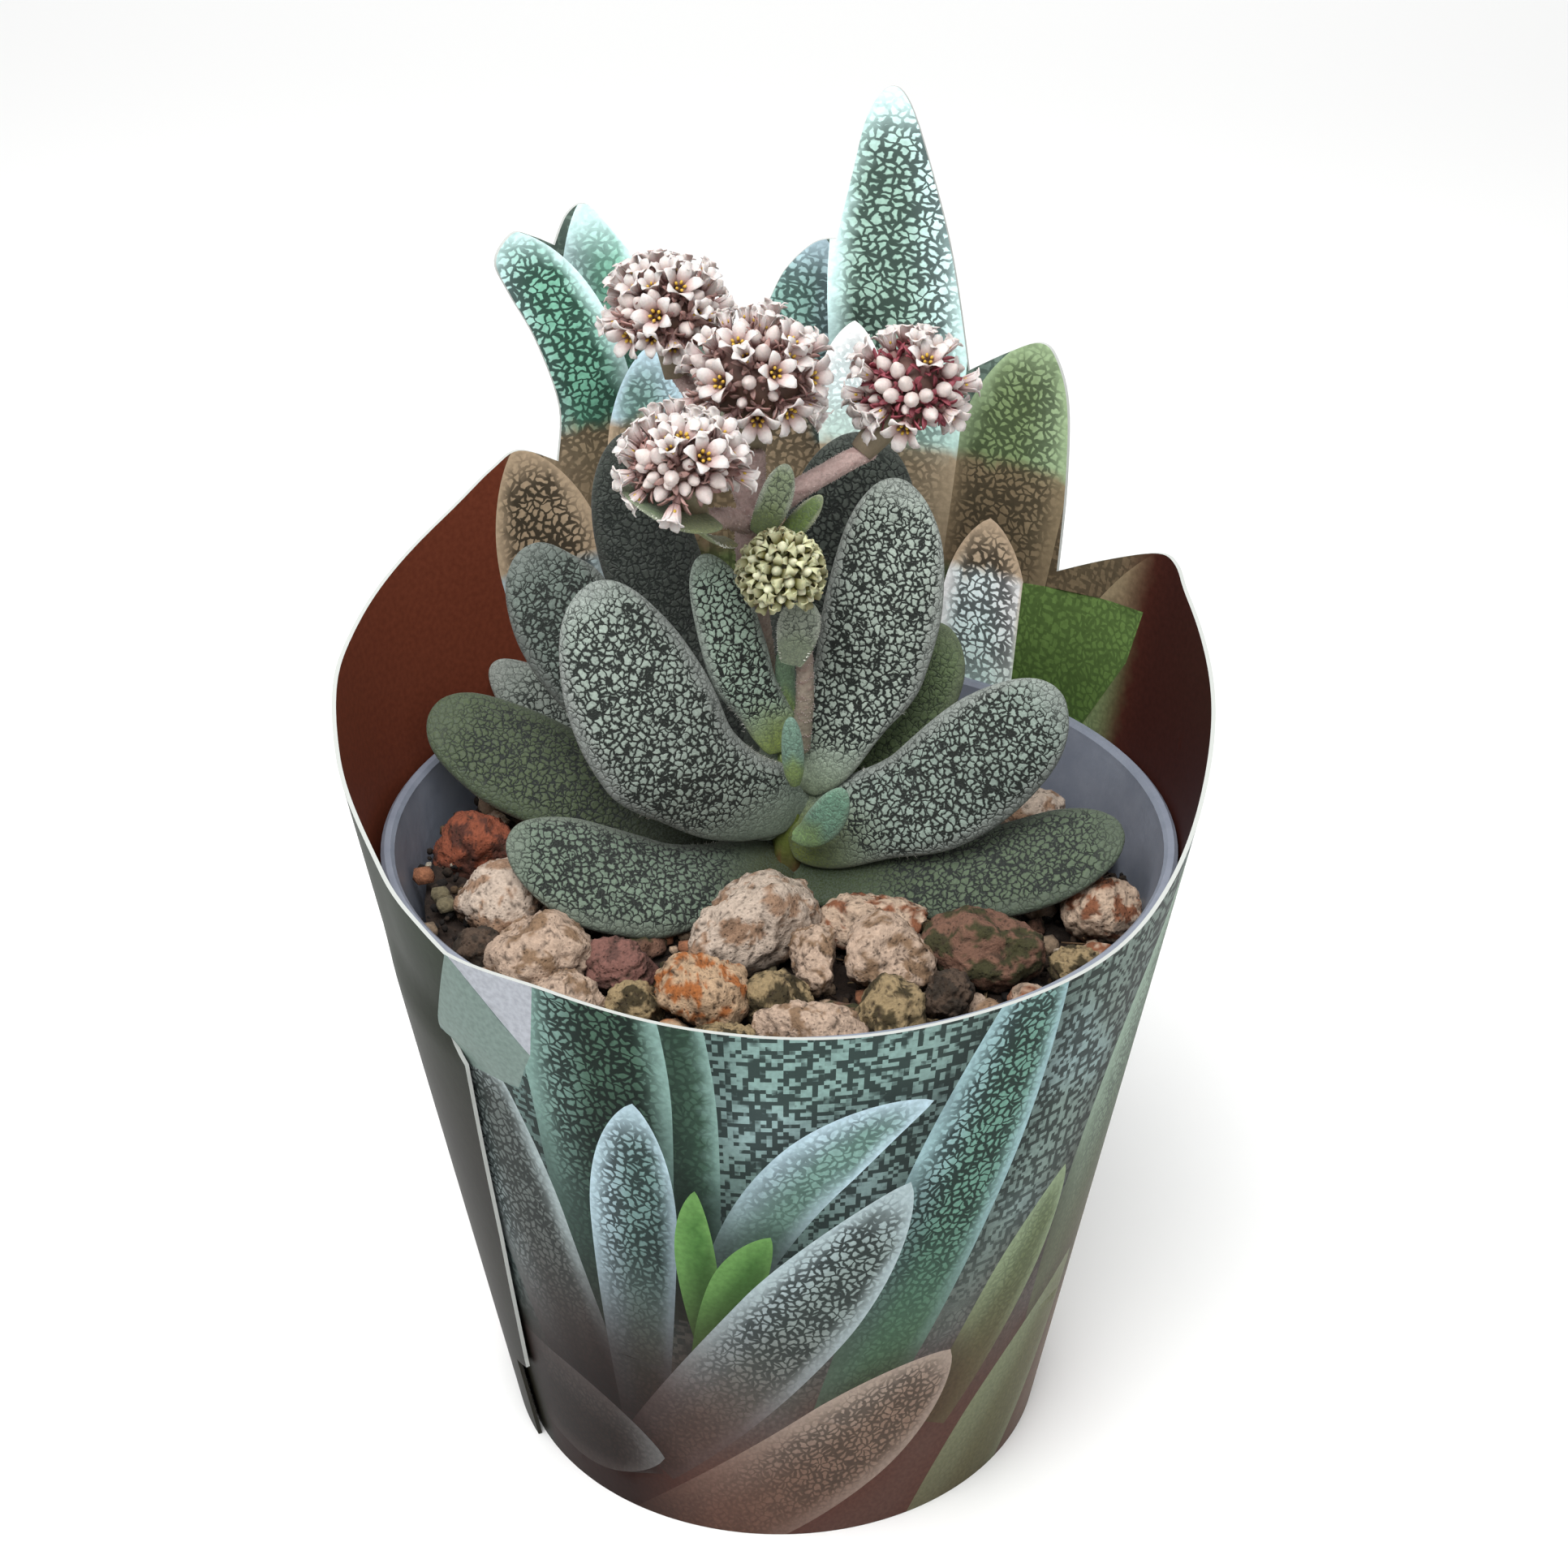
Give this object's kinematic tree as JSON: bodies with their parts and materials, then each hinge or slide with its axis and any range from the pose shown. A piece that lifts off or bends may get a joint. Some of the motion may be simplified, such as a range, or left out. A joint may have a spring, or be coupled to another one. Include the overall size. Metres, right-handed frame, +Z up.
{
  "type": "potted crassula",
  "caption": "Succulent rosette in flower, with thick cracked-grey leaves, gravel-dressed potting mix, a tapered nursery pot and a tall printed card sleeve round it.",
  "frame": {"origin": "on the pot's axis, at the underside that it stands on", "axes": "+Z up along the pot's axis; -Y is the front, where the sleeve's seam and its low edge are"},
  "size_m": [0.0928, 0.0968, 0.1392],
  "materials": {
    "pot": "moulded polypropylene, satin",
    "mix": "moist, crumbly and fibrous",
    "stem": "living green bark, satin",
    "leaf": "waxy, rough silver-grey scales over dark green",
    "young_leaf": "waxy, fine pale scales",
    "bract": "waxy green with a hairy pale edge",
    "stalk": "finely hairy, pinkish",
    "flowers": "matt pinkish-white petals and round buds",
    "buds": "matt cream and yellow-green buds",
    "gravel": "rough, pitted pumice and stained grit",
    "card": "coated and printed on both faces, white cut edge"
  },
  "bodies": {
    "root": {"nursery_pot": "pot", "potting_mix": "mix", "stem": "stem", "leaf_front_left": "leaf", "leaf_left_upper": "leaf", "leaf_back_left": "leaf", "leaf_centre_left": "leaf", "leaf_right_centre": "leaf", "leaf_right": "leaf", "leaf_left_lower": "leaf", "leaf_front_lower": "leaf", "leaf_right_lower": "leaf", "leaf_back": "leaf", "leaf_right_back": "leaf", "leaf_left_back": "leaf", "leaf_rear_lower": "leaf", "young_leaf_front": "young_leaf", "young_leaf_centre": "young_leaf", "young_leaf_inner": "young_leaf", "bract_fork_upright": "bract", "bract_fork_right": "bract", "bract_left_head": "bract", "bract_fork_left": "bract", "bract_bud_stalk": "bract", "flower_stalk": "stalk", "bud_stalk": "stalk", "flower_head_centre": "flowers", "flower_head_right": "flowers", "flower_head_back_left": "flowers", "flower_head_front_left": "flowers", "bud_head": "buds", "stone_01": "gravel", "stone_02": "gravel", "stone_03": "gravel", "stone_04": "gravel", "stone_05": "gravel", "stone_06": "gravel", "stone_07": "gravel", "stone_08": "gravel", "stone_09": "gravel", "stone_10": "gravel", "stone_11": "gravel", "stone_12": "gravel", "stone_13": "gravel", "stone_14": "gravel", "stone_15": "gravel", "stone_16": "gravel", "stone_17": "gravel", "stone_18": "gravel", "stone_19": "gravel", "stone_20": "gravel", "stone_21": "gravel", "stone_22": "gravel", "stone_23": "gravel", "stone_24": "gravel", "stone_25": "gravel", "stone_26": "gravel", "card_sleeve": "card"}
  },
  "joints": []
}
